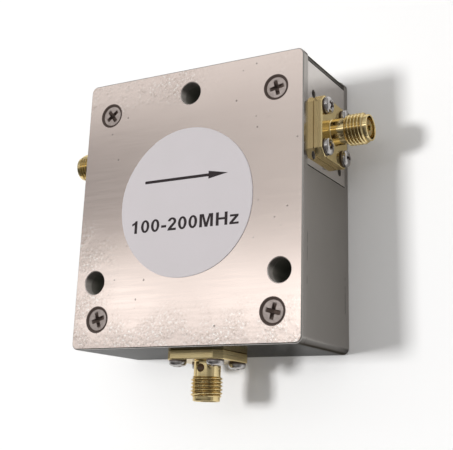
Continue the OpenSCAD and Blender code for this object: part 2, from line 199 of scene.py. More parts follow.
# Flange rows: height, distance inside the outline, share of the outline against the barrel's foot
flange_rows = np.array(
    [[0, 0.1, 0], [0, 0.1, 0.5], [0, 0.1, 1], [0.1, 0, 1], [FLANGE_T - EDGE_ROUND - 0.03, 0, 1]]
    + [[FLANGE_T - EDGE_ROUND * (1 - np.sin(a)), EDGE_ROUND * (1 - np.cos(a)), 1] for a in quarter]
    + [[FLANGE_T, EDGE_ROUND + 0.03, 1], [FLANGE_T, EDGE_ROUND, 0.66], [FLANGE_T, EDGE_ROUND, 0.33]]
)
BACK_ROWS = 4
height, inset, share = flange_rows.T[:, :, None]
foot = np.where(np.arange(len(flange_rows)) < BACK_ROWS, BORE_R, BARREL_R + FOOT_ROUND)[:, None]
flange = ring(share * (flange_edge(around) - inset) + (1 - share) * foot, height, around)

# Round rows: radius and height, before the thread and after it
barrel_rows = np.array(
    [[BARREL_R + FOOT_ROUND * (1 - np.sin(a)), FLANGE_T + FOOT_ROUND * (1 - np.cos(a))] for a in quarter]
    + [[BARREL_R, z] for z in np.linspace(2.2, THREAD_FROM, 8)]
)
nose_rows = np.array([
    [BARREL_R, THREAD_TO], [BARREL_R, 8.9], [BARREL_R, 9.33], [2.66, 9.44], [2.55, 9.5], [2.42, 9.5],
    [2.33, 9.46], [MOUTH_R, 9.38], [MOUTH_R, 8.8], [MOUTH_R, 8.2], [MOUTH_R, 7.6], [2.27, 7.55],
    [BORE_R, 7.55], [BORE_R, 5], [BORE_R, 2.5],
])
thread_heights = np.linspace(THREAD_FROM, THREAD_TO, 112)[:, None]
thread = ring(thread_radius(thread_heights, around), thread_heights, around)
barrel, nose = (ring(rows[:, :1], rows[:, 1:], around) for rows in (barrel_rows, nose_rows))
section = np.concatenate([flange, barrel, thread, nose])
pieces = np.linalg.norm(np.diff(section[:, 0], axis=0, append=section[:1, 0]), axis=1)
run = np.concatenate([[0], np.cumsum(pieces)])
# Darker in the thread's root and the mouth
in_root = 1 - thread_share(thread_heights, around)
in_mouth = np.where(nose_rows[:, :1] < MOUTH_R + 0.05, 0.6, 0) * np.ones(JACK_STEPS)
jack_recess_dark = np.concatenate([np.zeros((len(flange) + len(barrel), JACK_STEPS)), in_root, in_mouth])
jack_mesh = skin("jack_body", section[None], rows_close=True, recess_dark=jack_recess_dark, along=run)
print("jack body faces:", len(jack_mesh.polygons))

# %% Drill the flange's screw holes and the resin hole
SCREW_PITCH, SCREW_HOLE_R = 8.64, 1.2
RESIN_HEIGHT, RESIN_R, RESIN_REACH = 3.15, 0.825, (0.9, 3.9)
drill_angle = np.linspace(0, 2 * np.pi, 40, endpoint=False)
drill_rows = np.array([[0, -1], [1, -1], [1, 1], [0, 1]])[:, :, None]
drill = ring(drill_rows[:, 0], drill_rows[:, 1], drill_angle)
FOUR_CORNERS = np.array([[1, 1, 0], [-1, 1, 0], [-1, -1, 0], [1, -1, 0]])


def four_drills(pitch, radius, depth):
    """Four drills on a square, each as far above the mounting face as below it."""
    return drill * [radius, radius, depth] + pitch / 2 * FOUR_CORNERS[:, None, None]


def drill_out(mesh, drills):
    """A copy of a mesh without what the drills fill."""
    blank, tool = added("blank", mesh), added("tool", drills)
    cut = blank.modifiers.new("drilled", "BOOLEAN")
    cut.operation, cut.solver, cut.object = "DIFFERENCE", "EXACT", tool
    ready = blank.evaluated_get(bpy.context.evaluated_depsgraph_get())
    drilled = bpy.data.meshes.new_from_object(ready)
    for helper in (blank, tool):
        bpy.data.objects.remove(helper)
    return drilled


resin_from, resin_to = RESIN_REACH
radial_drill = (drill * [RESIN_R, RESIN_R, (resin_to - resin_from) / 2])[..., [2, 1, 0]]
radial_drill = radial_drill + [(resin_from + resin_to) / 2, 0, RESIN_HEIGHT]
all_drills = np.concatenate([four_drills(SCREW_PITCH, SCREW_HOLE_R, 3), radial_drill[None]])
drilled = tidy(drill_out(jack_mesh, skin("drills", all_drills)))
print("drilled jack faces:", len(drilled.polygons))

# %% Set a jack on each of the three sides
# Each port: where the mounting face's centre is, then where the jack's own X, Y and Z axes point
PORTS = {
    "right": ((26, 14, 11), ((0, 0, -1), (0, 1, 0), (1, 0, 0))),
    "left": ((-26, 14, 11), ((0, 0, -1), (0, -1, 0), (-1, 0, 0))),
    "lower": ((0, -28.75, 11), ((0, 0, 1), (-1, 0, 0), (0, -1, 0))),
}


def at_port(points, side):
    """Carries points from a jack's own frame to its port: place plus each coordinate along its axis."""
    place, axes = PORTS[side]
    return np.array(place) + points @ np.array(axes, float)


jacks = []
for side, (place, axes) in PORTS.items():
    mesh = drilled.copy()
    mesh.transform(Matrix.Translation(Vector(place) * MM) @ Matrix(axes).transposed().to_4x4())
    jacks.append(show(side + "_gold_jack", mesh, "gold_plate", side + "_jack_body"))

# %% [markdown]
# ## Resin in the radial hole
#
# A drop of dark resin locks each insulator through the barrel's side hole. It dries with a hollow face,
# a little under the gold. A flat disc would catch the light all at once, so the drop is a shallow dish.

# %% Resin drops
DROP_R = 0.8
dish_rows = np.array([[0, 2.12], [DROP_R, 2.12], [DROP_R, 2.5], [0.55, 2.4], [0.3, 2.35], [0, 2.33]])
dish = ring(dish_rows[:, :1], dish_rows[:, 1:], drill_angle)[..., [2, 1, 0]] + [0, 0, RESIN_HEIGHT]
resin = show("resin_drops", skin("resin", np.stack([at_port(dish, side) for side in PORTS])), "insulator")

# %% [markdown]
# ## The screws
#
# The flange screws have low domed heads and the cover screws are countersunk. Both carry a cross recess,
# a pressed hollow with a tapering floor. A boolean cut gives it razor edges; here the hollow is part of
# the height formula, so its edges come out slightly rounded, as a punch leaves them.

# %% Cross recess as a change of height
# How deep in a cross, and how far past the clean radius, the screws darken fully with dirt and painted
# shade
DIRT_SHADE_DEPTH, DIRT_SHADE_EDGE = 0.22, 0.08
screw_angle = np.linspace(0, 2 * np.pi, 160, endpoint=False)


def cross_depth(radius, angle, reach, wing, depth, tip=0.3, lip=0.09):
    """Depth of a cross at a point: a cone from the tip out to the reach, kept inside two crossed bars
    whose walls slope over the width of the lip."""
    x, y = np.abs(radius * np.cos(angle)), np.abs(radius * np.sin(angle))
    inside = np.clip((wing / 2 + lip / 2 - np.minimum(x, y)) / lip, 0, 1)
    cone = np.clip((reach - radius) / (reach - tip), 0, 1)
    return depth * cone * inside**2 * (3 - 2 * inside)


def screw(radius, height, cross, stem, clean):
    """A head whose height is cut by its cross, then the stem's rows of radius and height. Dirt and painted
    shade fill the cross, fuller where it is deeper, and the head past its clean radius."""
    points = [ring(radius, height - cross, screw_angle), ring(stem[:, :1], stem[:, 1:], screw_angle)]
    recess_dark = np.maximum(np.clip(cross / DIRT_SHADE_DEPTH, 0, 1), np.clip((radius - clean) / DIRT_SHADE_EDGE, 0, 1))
    return np.concatenate(points), np.concatenate([recess_dark, np.ones((len(stem), len(screw_angle)))])


def turned(points, degrees):
    """Turns points about Z."""
    a = np.radians(degrees)
    return points @ np.array([[np.cos(a), np.sin(a), 0], [-np.sin(a), np.cos(a), 0], [0, 0, 1]])


# %% Flange screws, four to a jack
HEAD_R, HEAD_H, HEAD_RIM, DOME_POWER = 1.75, 1.3, 0.5, 2.7
dome_r = np.concatenate([np.linspace(0, 1.12, 30), np.linspace(1.18, HEAD_R, 14)])[:, None]
dome = HEAD_RIM + (HEAD_H - HEAD_RIM) * (1 - (dome_r / HEAD_R) ** DOME_POWER) ** (1 / DOME_POWER)
cross = cross_depth(dome_r, screw_angle, reach=1.1, wing=0.55, depth=0.8)
stem_rows = np.array([[HEAD_R, 0.08], [1.68, 0], [1.05, 0], [1, -0.1], [1, -5.7], [0.75, -6], [0, -6]])
pan_screw, pan_recess_dark = screw(dome_r, dome, cross, stem_rows, HEAD_R)
pan_screw = pan_screw + [0, 0, FLANGE_T]

flange_screws = []
for side in PORTS:
    # Each screw was tightened to its own angle
    four = [turned(turned(pan_screw, stop) + [SCREW_PITCH / 2, SCREW_PITCH / 2, 0], 90 * k)
            for k, stop in enumerate((20, 65, 40, 5))]
    mesh = skin(side + "_flange_screws", at_port(np.stack(four), side), recess_dark=pan_recess_dark)
    flange_screws.append(show(side + "_flange_screws", mesh, "flange_screw", side + "_jack_screws"))

# %% Cover screws, four in front and four behind
FRONT, HEAD_DROP = 22, 0.27
SUNK_R, SUNK_CROWN, SUNK_CLEAN = 2.2, 0.03, 2.08
flat_r = np.concatenate([np.linspace(0, 1.7, 44), np.linspace(1.75, SUNK_R - 0.01, 7)])[:, None]
flat = SUNK_CROWN * (1 - (flat_r / SUNK_R) ** 2)
cross = cross_depth(flat_r, screw_angle, reach=1.66, wing=0.78, depth=1.1)
stem_rows = np.array([
    [2.23, -0.02], [2.25, -0.06], [2.25, -0.1], [1.25, -1.1], [1.25, -7.6], [0.85, -8], [0, -8],
])
sunk_screw, sunk_recess_dark = screw(flat_r, flat, cross, stem_rows, SUNK_CLEAN)

# Each screw: its place, and the angle it stopped at
stops = ((-20, 21.2, 38), (20, 21.2, 12), (-20, -22.8, 18), (20, -22.8, -14))
front_four = np.stack([turned(sunk_screw, stop) + [x, y, FRONT - HEAD_DROP] for x, y, stop in stops])
back_four = front_four * [1, 1, -1] + [0, 0, FRONT]
cover_screws = []
for end, four in (("front", front_four), ("back", back_four)):
    mesh = skin(end + "_sunk", four, recess_dark=sunk_recess_dark)
    cover_screws.append(show(end + "_sunk_screws", mesh, "cover_screw", end + "_cover_screws"))

# %% [markdown]
# ## The label and its print
#
# The label is a thin paper disc, cut out by hand, so its edge is not quite round. Its face isn't quite
# flat either: it swells by a few thousandths of a millimetre, which bends the light on it. The print is a
# plain arrow for the way the signal goes, and a made-up band. A font could give the figures, but its
# strokes come out too thin, so each figure is an outline of a few points, laid on as a film of ink.

# %% Paper disc
LABEL_R, LABEL_T, FACE_ROWS = 15.5, 0.15, 48
SWELL, CUT_IN = 0.004, 0.09
paper_angle = np.linspace(0, 2 * np.pi, 240, endpoint=False)
face_r = np.linspace(0, LABEL_R - 0.1, FACE_ROWS)
paper_r = np.concatenate([face_r, [LABEL_R - 0.04, LABEL_R, LABEL_R, 0]])[:, None]
paper_z = np.concatenate([np.full(FACE_ROWS, LABEL_T), [LABEL_T - 0.01, LABEL_T - 0.05, 0, 0]])[:, None]
swell = SWELL * np.sin(2 * paper_angle + 0.6) * (paper_r / LABEL_R) ** 2 * (paper_z > 0.1)
cut_in = CUT_IN * (1 + np.sin(3 * paper_angle + 0.4)) * (0.5 + 0.5 * np.sin(5 * paper_angle + 2))
paper = ring(paper_r * (1 - cut_in / LABEL_R), FRONT + paper_z + swell, paper_angle)
label = show("paper_label", skin("paper", paper[None]), "label", "round_label")

# %% Arrow, as a bar whose width changes along its length
INK_FROM, INK_TO = FRONT + LABEL_T - 0.01, FRONT + LABEL_T + 0.012
INK_LEVELS = np.array([INK_FROM, INK_FROM, INK_TO, INK_TO])
ARROW_Y = 4.85
along = np.array([-9.95, -9.95, -9.83, 5.3, 5.3, 9.75])[:, None]
half_width = np.array([0, 0.2, 0.3, 0.3, 0.82, 0])[:, None]
side_of = np.array([-1, 1, 1, -1])
bar = np.stack(np.broadcast_arrays(along, ARROW_Y + half_width * side_of, INK_LEVELS), axis=-1)
arrow = show("label_arrow", skin("arrow", bar[None]), "label")

# %% Outlines of the figures, one high
def arc(x, y, half_w, half_h, begin, end):
    """Points on an ellipse from one angle to another, in degrees."""
    a = np.radians(np.linspace(begin, end, 24))
    return np.column_stack([x + half_w * np.cos(a), y + half_h * np.sin(a)])


# Each figure: how far the next one stands, then its outline
FIGURES = {
    "1": (0.72, [
        [0.28, 0], [0.48, 0], [0.48, 1], [0.33, 1], [0.26, 0.88], [0.09, 0.78], [0.09, 0.61],
        [0.28, 0.71]]),
    "2": (0.75, np.concatenate([
        arc(0.355, 0.695, 0.305, 0.305, 175, -40),
        [[0.33, 0.18], [0.66, 0.18], [0.66, 0], [0.03, 0], [0.09, 0.17], [0.22, 0.36]],
        arc(0.355, 0.695, 0.115, 0.145, -40, 175)])),
    "-": (0.49, [[0.06, 0.27], [0.43, 0.27], [0.43, 0.46], [0.06, 0.46]]),
    "M": (1.14, [
        [0.08, 0], [0.27, 0], [0.27, 0.79], [0.46, 0], [0.65, 0], [0.84, 0.79], [0.84, 0], [1.03, 0],
        [1.03, 1], [0.74, 1], [0.555, 0.32], [0.37, 1], [0.08, 1]]),
    "H": (1.0, [
        [0.09, 0], [0.29, 0], [0.29, 0.43], [0.69, 0.43], [0.69, 0], [0.89, 0], [0.89, 1], [0.69, 1],
        [0.69, 0.6], [0.29, 0.6], [0.29, 1], [0.09, 1]]),
    "z": (0.7, [
        [0.03, 0], [0.66, 0], [0.66, 0.16], [0.28, 0.16], [0.64, 0.6], [0.64, 0.74], [0.06, 0.74],
        [0.06, 0.58], [0.39, 0.58], [0.03, 0.14]]),
}
# The nought is a ring: half its width and half its height at the four corners of the ink's section
NOUGHT_STEP, NOUGHT_MIDDLE, NOUGHT_TURN = 0.75, (0.36, 0.5), np.linspace(0, 2 * np.pi, 48, endpoint=False)
NOUGHT_W, NOUGHT_H = np.array([[0.12, 0.31, 0.31, 0.12], [0.34, 0.5, 0.5, 0.34]])[:, :, None]
print("figures drawn:", len(FIGURES) + 1)


# %% Figures laid on the paper
def inked(outline, start):
    """A lower and an upper copy of an outline, joined by quads and closed by one face each. Its points are
    counted from the start."""
    count = len(outline)
    low, high = start + np.arange(count), start + np.arange(count) + count
    points = np.column_stack([np.tile(outline, (2, 1)), np.repeat([INK_FROM, INK_TO], count)])
    walls = np.column_stack([low, np.roll(low, -1), np.roll(high, -1), high])
    return points, walls.tolist() + [low[::-1].tolist(), high.tolist()]


def nought(start):
    """A ring between two ellipses: four corners of ink carried round the middle."""
    x = NOUGHT_MIDDLE[0] + NOUGHT_W * np.cos(NOUGHT_TURN)
    y = NOUGHT_MIDDLE[1] + NOUGHT_H * np.sin(NOUGHT_TURN)
    points = np.stack(np.broadcast_arrays(x, y, INK_LEVELS[:, None]), axis=-1)
    number = start + np.arange(x.size).reshape(x.shape)
    right, below = np.roll(number, -1, axis=1), np.roll(number, -1, axis=0)
    quads = np.stack([number, right, np.roll(right, -1, axis=0), below], axis=-1)
    return points.reshape(-1, 3), quads.reshape(-1, 4).tolist()


PRINT_LOW, PRINT_HIGH = np.array([-12.55, -5.75, INK_FROM]), np.array([12.5, -3.1, INK_TO])
points, faces, pen = np.empty((0, 3)), [], 0
for sign in "100-200MHz":
    step, outline = FIGURES.get(sign, (NOUGHT_STEP, None))
    spots, joins = nought(len(points)) if outline is None else inked(np.array(outline), len(points))
    points = np.concatenate([points, spots + [pen, 0, 0]])
    faces, pen = faces + joins, pen + step
low, high = points.min(axis=0), points.max(axis=0)
points = PRINT_LOW + (points - low) / (high - low) * (PRINT_HIGH - PRINT_LOW)
print_mesh = bpy.data.meshes.new("figures")
print_mesh.from_pydata(points * MM, [], faces)
band = show("label_band", tidy(print_mesh), "label")

# %% [markdown]
# ## Housing with broken edges
#
# The covers, the frame and the port blocks have the right shape in the part, but perfectly sharp corners.
# Real plated corners catch a thin line of light. A bevel modifier would also open the tight joints, so
# each piece is a merged copy of its solid, and only a cover's edges away from its joint are chamfered.
# Each port block gets four small tapped holes just past the flange's cut corners, for a larger jack.

# %% Housing pieces
COVER_T, CHAMFER = 2, 0.05
# Each piece: its finish's slot, the height of the joint that stays sharp, and the chamfer's width
HOUSING = {
    "front_cover": ("plated_cover", FRONT - COVER_T, CHAMFER),
    "back_cover": ("plated_cover", COVER_T, CHAMFER),
    "main_frame": ("plated_frame", None, 0),
    "right_port_block": ("plated_block", None, 0),
    "left_port_block": ("plated_block", None, 0),
}
SPARE_PITCH, SPARE_R, SPARE_DEPTH = 12.7, 0.85, 1.6
SHARP_EDGE, SMOOTH_UNDER, SQUARE_ON = np.radians(32), 20, 0.9999
SAME_PLACE, ON_JOINT = 2e-6, 1e-5


def plated_copy(solid, joint, width):
    """The solid with shared corners merged, and every sharp edge off the joint's plane cut back by the
    width. A port block gets its spare holes. Faces square to an axis are shaded flat, because smooth
    shading would bend the light round each hole."""
    mesh = solids[solid].data.copy()
    work = bmesh.new()
    work.from_mesh(mesh)
    bmesh.ops.remove_doubles(work, verts=work.verts, dist=SAME_PLACE)
    if width:
        sharp = [edge for edge in work.edges if edge.is_manifold and edge.calc_face_angle() > SHARP_EDGE
                 and max(abs(end.co.z - joint * MM) for end in edge.verts) > ON_JOINT]
        bmesh.ops.bevel(work, geom=sharp, offset=width * MM, segments=1, affect="EDGES", clamp_overlap=True)
    work.to_mesh(mesh)
    work.free()
    side = solid.removesuffix("_port_block")
    if side in PORTS:
        spare = at_port(four_drills(SPARE_PITCH, SPARE_R, SPARE_DEPTH), side)
        mesh = drill_out(mesh, skin("spare_drills", spare))
    tidy(mesh, sharp=SMOOTH_UNDER)
    normals = np.empty(len(mesh.polygons) * 3, np.float32)
    mesh.polygons.foreach_get("normal", normals)
    square_on = np.abs(normals.reshape(-1, 3)).max(axis=1) > SQUARE_ON
    mesh.polygons.foreach_set("use_smooth", ~square_on)
    return mesh


housing = {}
for solid, (slot, joint, width) in HOUSING.items():
    housing[solid] = show(solid + "_plated", plated_copy(solid, joint, width), slot, solid)

# %% [markdown]
# ## A short way to write finishes
#
# A finish is a small tree of nodes. Linking each by hand hides the recipe behind the wiring, so a helper
# adds a node, fills or links its sockets and returns an output. All patterns read Object coordinates, in
# metres, so they stay on the piece from every side.

# %% Node helpers
def node(tree, kind, sockets=(), out=0, **settings):
    """Adds a node, sets its properties, fills each socket with a value or a link, and returns an output."""
    made = tree.nodes.new("ShaderNode" + kind)
    for key, value in settings.items():
        setattr(made, key, value)
    for key, value in dict(sockets).items():
        if isinstance(value, bpy.types.NodeSocket):
            tree.links.new(value, made.inputs[key])
        else:
            made.inputs[key].default_value = value
    return made.outputs[out]


def noise(tree, where, scale, detail=3, rough=0.55, stretch=(1, 1, 1)):
    """Cloudy value from 0 to 1; a stretch above 1 squeezes the pattern along that axis."""
    where = node(tree, "Mapping", {"Vector": where, "Scale": stretch})
    return node(tree, "TexNoise", {"Vector": where, "Scale": scale, "Detail": detail, "Roughness": rough})


def span(tree, value, low, high, to_low=0, to_high=1):
    """Smooth step of a value from one range to another."""
    sockets = {0: value, 1: low, 2: high, 3: to_low, 4: to_high}
    return node(tree, "MapRange", sockets, interpolation_type="SMOOTHSTEP")


def blend(tree, share, a, b):
    """Mixes two colours."""
    return node(tree, "Mix", {0: share, 6: a, 7: b}, out=2, data_type="RGBA")


def layers(tree, colour, *shades):
    """Covers a colour with others, each by its own share, in the order given."""
    for share, shade in shades:
        colour = blend(tree, share, colour, shade)
    return colour


# %% Arithmetic with nodes
def sums(tree, operation, a, b=0.0, c=0.0):
    """One step of arithmetic."""
    return node(tree, "Math", {0: a, 1: b, 2: c}, operation=operation)


def times(tree, value, *others):
    """The product of several values."""
    for other in others:
        value = sums(tree, "MULTIPLY", value, other)
    return value


def most(tree, value, *others):
    """The greatest of several values."""
    for other in others:
        value = sums(tree, "MAXIMUM", value, other)
    return value


def add_share(tree, base, share, gain):
    """A base value plus a gain times a share."""
    return sums(tree, "MULTIPLY_ADD", share, gain, base)


def apart(tree, value, middle=0.0):
    """How far a value lies from a middle, to either side."""
    return sums(tree, "ABSOLUTE", sums(tree, "SUBTRACT", value, middle))


def length(tree, x, y):
    """Square root of the sum of two squares."""
    return sums(tree, "SQRT", sums(tree, "MULTIPLY_ADD", x, x, times(tree, y, y)))


# %% Materials from recipes
RECIPE_SOCKETS = "Base Color", "Roughness", "Normal", "Metallic", "Specular Tint"


def finish(name, recipe, **fixed):
    """Makes a material: the recipe returns linked colour, roughness and height in metres. For a metal with
    dirt on it a fourth value says how bare it is, and a fifth gives its tint where the light only skims
    it. Fixed values go straight to the shader's sockets."""
    material = bpy.data.materials.new(name)
    material.use_nodes = True
    tree = material.node_tree
    shader = tree.nodes["Principled BSDF"]
    colour, rough, lift, *more = recipe(tree, node(tree, "TexCoord", out=3))
    bump = node(tree, "Bump", {"Height": lift, "Distance": 1.0})
    for socket, value in zip(RECIPE_SOCKETS, (colour, rough, bump, *more)):
        tree.links.new(value, shader.inputs[socket])
    for socket, value in fixed.items():
        shader.inputs[socket.replace("_", " ")].default_value = value
    return material


def coat(material, *pieces):
    """Gives pieces or solids a finish, and a new piece its first material slot."""
    for piece in pieces:
        if not piece.data.materials:
            piece.data.materials.append(material)
        for held in piece.material_slots:
            held.material = material
    print(material.name, "on", len(pieces))


# %% [markdown]
# ## Places on the housing
#
# Wear and dirt lie along the outline, round the screws, in the bores and in the seams. They could be
# painted by hand on a UV map, but each place is a simple distance, so a few nodes work it out from the
# coordinates, and each mark lies exactly where its piece is.

# %% Distances as nodes, in metres
HALF_W, HALF_H, CORNER_R = 0.026, 0.02875, 0.0014
SCREW_X, SCREW_Y, SCREW_MIDDLE = 0.020, 0.022, -0.0008
BORES = ((0, 0.0232), (-0.0213, -0.01525), (0.0213, -0.01525))


def axes(tree, where):
    """The three coordinates of a place."""
    return node(tree, "SeparateXYZ", {0: where}).node.outputs


def past_straight(tree, where):
    """How far a place lies past the straight stretch of the sides, along X and along Y, and 0 before it."""
    x, y, _ = axes(tree, where)
    return [most(tree, sums(tree, "SUBTRACT", apart(tree, along), half - CORNER_R), 0.0)
            for along, half in ((x, HALF_W), (y, HALF_H))]


def rim_distance(tree, where):
    """Distance to the housing's outline, below 0 inside it: an outline with round corners is every point
    one corner radius away from a smaller rectangle."""
    return sums(tree, "SUBTRACT", length(tree, *past_straight(tree, where)), CORNER_R)


def corner_shade_share(tree, where):
    """1 in the middle of the housing's four rounded corners, where shade is painted over their reflection,
    and 0 on its flat sides: both distances past the straight stretch, multiplied."""
    return span(tree, times(tree, *past_straight(tree, where)), 0.08 * CORNER_R**2, 0.42 * CORNER_R**2)


def screw_distance(tree, where):
    """Distance from the nearest cover screw: the four lie mirrored about two lines."""
    x, y, _ = axes(tree, where)
    dx = sums(tree, "SUBTRACT", apart(tree, x), SCREW_X)
    dy = sums(tree, "SUBTRACT", apart(tree, y, SCREW_MIDDLE), SCREW_Y)
    return length(tree, dx, dy)


def depth_step(tree, where, deep, shallow):
    """0 from one depth under the nearer outer face, in millimetres, and 1 from a shallower one."""
    from_middle = apart(tree, axes(tree, where)[2], FRONT / 2 * MM)
    return span(tree, from_middle, (FRONT / 2 - deep) * MM, (FRONT / 2 - shallow) * MM)


# %% Mounting bores as nodes
def bore_share(tree, where):
    """1 on the wall of a mounting bore and 0 away from it: the least of three distances, as a step."""
    x, y, _ = axes(tree, where)
    nearest = 1.0
    for bore_x, bore_y in BORES:
        away = length(tree, sums(tree, "SUBTRACT", x, bore_x), sums(tree, "SUBTRACT", y, bore_y))
        nearest = sums(tree, "MINIMUM", away, nearest)
    return span(tree, nearest, 0.00242, 0.0025, 1, 0)


def bore_lit_share(tree, where):
    """1 on the lower left of a bore's wall, where light is painted on, and 0 on the rest, where shade is
    painted: a step of how far a place lies to the lower left of the bore's middle."""
    x, y, _ = axes(tree, where)
    (_, upper), _, (right, lower) = BORES
    above = sums(tree, "GREATER_THAN", y)
    middle_x = times(tree, sums(tree, "SIGN", x), add_share(tree, right, above, -right))
    middle_y = add_share(tree, lower, above, upper - lower)
    away = sums(tree, "ADD", sums(tree, "SUBTRACT", x, middle_x), sums(tree, "SUBTRACT", y, middle_y))
    return span(tree, away, -0.0006, -0.0024)


# %% [markdown]
# ## Plating on the covers
#
# The covers are rolled plate with a warm silver coat, smooth in the middle and pebbled towards the left,
# lower and upper edges, with tiny dark pits, faint wiping marks, and dirt and painted shade in the
# countersinks. Their sides and rounded corners are painted grey as shade, and their bores' walls carry
# painted light and shade. A metal with one roughness would look like foil, so these change its colour,
# gloss and height together.

# %% Where a cover is pebbled and pitted
def coarse_share(tree, where):
    """How pebbled the coat is: the greatest of three strips along the edges, broken up by clouds."""
    x, y, _ = axes(tree, where)
    left = times(tree, span(tree, x, -0.0135, -0.0235), span(tree, y, 0.002, -0.010))
    lower = span(tree, y, -0.0175, -0.027)
    upper = times(tree, span(tree, y, 0.0195, 0.0245), span(tree, x, 0.006, -0.004, 0.15, 1))
    return times(tree, most(tree, left, lower, upper), span(tree, noise(tree, where, 170), 0.36, 0.62))


def pit_share(tree, where):
    """Tiny round pits: the middles of scattered cells, kept only where a slower cloud is dense."""
    pit = node(tree, "TexVoronoi", {"Vector": where, "Scale": 460, "Randomness": 1})
    dense = span(tree, noise(tree, where, 250, 1), 0.56, 0.64)
    return times(tree, span(tree, pit, 0.06, 0.13, 1, 0), dense)


# %% Cover finish
PALE_SILVER, DEEP_SILVER = (0.91, 0.80, 0.745, 1), (0.83, 0.715, 0.665, 1)
PEBBLE_SHADE, GRIT_SHADE, GRIT_GLINT = (0.68, 0.595, 0.54, 1), (0.58, 0.475, 0.41, 1), (1, 0.975, 0.94, 1)
# The cover's sides are painted grey as shade
SIDE_PAINTED_SHADE, CORNER_PAINTED_SHADE, EDGE_LINE_GREY = (0.58, 0.555, 0.53, 1), (0.27, 0.26, 0.25, 1), (0.52, 0.50, 0.48, 1)
# The bores' walls take the pits' dark as painted shade, and a paler silver as painted light
PIT_DARK_AND_BORE_SHADE, SUNK_DIRT_AND_SHADE, BORE_PAINTED_LIGHT = (0.20, 0.185, 0.17, 1), (0.085, 0.062, 0.053, 1), (0.92, 0.87, 0.83, 1)
FACE_TINT, SIDE_TINT = (0.8, 0.78, 0.76, 1), (0.10, 0.098, 0.095, 1)
# What a dull film adds to the roughness, and takes from the metal
DULL_ROUGH, DULL_METAL = 0.35, -0.9


def cover_recipe(tree, where):
    """Clouded silver, covered in turn by pebbles, grit, pits, the sides and corners painted grey as shade,
    a darker line along the edges, dirt and painted shade round the screws, and the bores' walls with
    painted light and shade. Roughness and height follow the same shares."""
    pebble, grit = noise(tree, where, 1300, 3, 0.6), noise(tree, where, 1900, 2, 0.6)
    wipe = noise(tree, where, 90, 3, 0.7, (1, 22, 22))
    coarse, pits, bore = coarse_share(tree, where), pit_share(tree, where), bore_share(tree, where)
    rim = span(tree, rim_distance(tree, where), -0.00027, -0.00017)
    sunk_dirt_and_shade = span(tree, screw_distance(tree, where), 0.00266, 0.00276, 1, 0)
    colour = layers(
        tree, blend(tree, noise(tree, where, 60, 2), PALE_SILVER, DEEP_SILVER),
        (times(tree, coarse, span(tree, pebble, 0.44, 0.60, 0, 0.2)), PEBBLE_SHADE),
        (times(tree, coarse, span(tree, grit, 0.54, 0.68, 0, 0.6)), GRIT_SHADE),
        (times(tree, coarse, span(tree, grit, 0.45, 0.33, 0, 0.9)), GRIT_GLINT),
        (times(tree, pits, 0.7), PIT_DARK_AND_BORE_SHADE),
        # The cover's sides are painted grey as shade, darker still on the rounded corners
        (rim, blend(tree, corner_shade_share(tree, where), SIDE_PAINTED_SHADE, CORNER_PAINTED_SHADE)),
        # A darker line along the face's edges
        (times(tree, rim, depth_step(tree, where, 0.32, 0.26)), EDGE_LINE_GREY),
        # Dirt and painted shade in the countersinks, round each screw
        (sunk_dirt_and_shade, SUNK_DIRT_AND_SHADE),
        # The bores' walls: painted light on the lower left, painted shade on the rest
        (bore, blend(tree, bore_lit_share(tree, where), PIT_DARK_AND_BORE_SHADE, BORE_PAINTED_LIGHT)),
    )
    dull = most(tree, sunk_dirt_and_shade, bore)
    rough = add_share(tree, span(tree, wipe, 0.3, 0.7, 0.13, 0.16), coarse, 0.04)
    lift = times(tree, pebble, add_share(tree, 4e-7, coarse, 1e-5))
    lift = add_share(tree, lift, times(tree, coarse, grit), 9e-6)
    lift = add_share(tree, add_share(tree, lift, pits, -6e-6), wipe, 6e-7)
    bare, tint = add_share(tree, 1.0, dull, DULL_METAL), blend(tree, rim, FACE_TINT, SIDE_TINT)
    return colour, add_share(tree, rough, dull, DULL_ROUGH), lift, bare, tint


cover_silver = finish("warm_silver_cover", cover_recipe)
coat(cover_silver, housing["front_cover"], housing["back_cover"])

# %% [markdown]
# ## Plating on the frame and the port blocks
#
# The sides were milled and then plated, so they are smoother than the covers, and they are painted greyer
# as shade: the gold flange shows in them as in a dull mirror. The blocks are brighter than the frame. The
# frame's narrow bar above each block is speckled and mostly darkened with painted shade, and its rounded
# corners carry painted shade. Dirt marks the joint with each cover, but only where it isn't tight. Bores
# and spare holes are matte inside and carry painted shade; the bores' lower left walls carry painted light.
# One grey for all of it would look like plastic, so each of these is its own layer.

# %% Side finishes
def milled(tree, where, light, dark, gloss):
    """Clouded metal with fine cutter lines along the side: its colour, roughness and height."""
    lines = noise(tree, where, 140, 3, 0.6, (1, 1, 26))
    colour = blend(tree, noise(tree, where, 70), light, dark)
    return colour, span(tree, lines, 0.3, 0.7, gloss, gloss + 0.05), times(tree, lines, 1e-6)


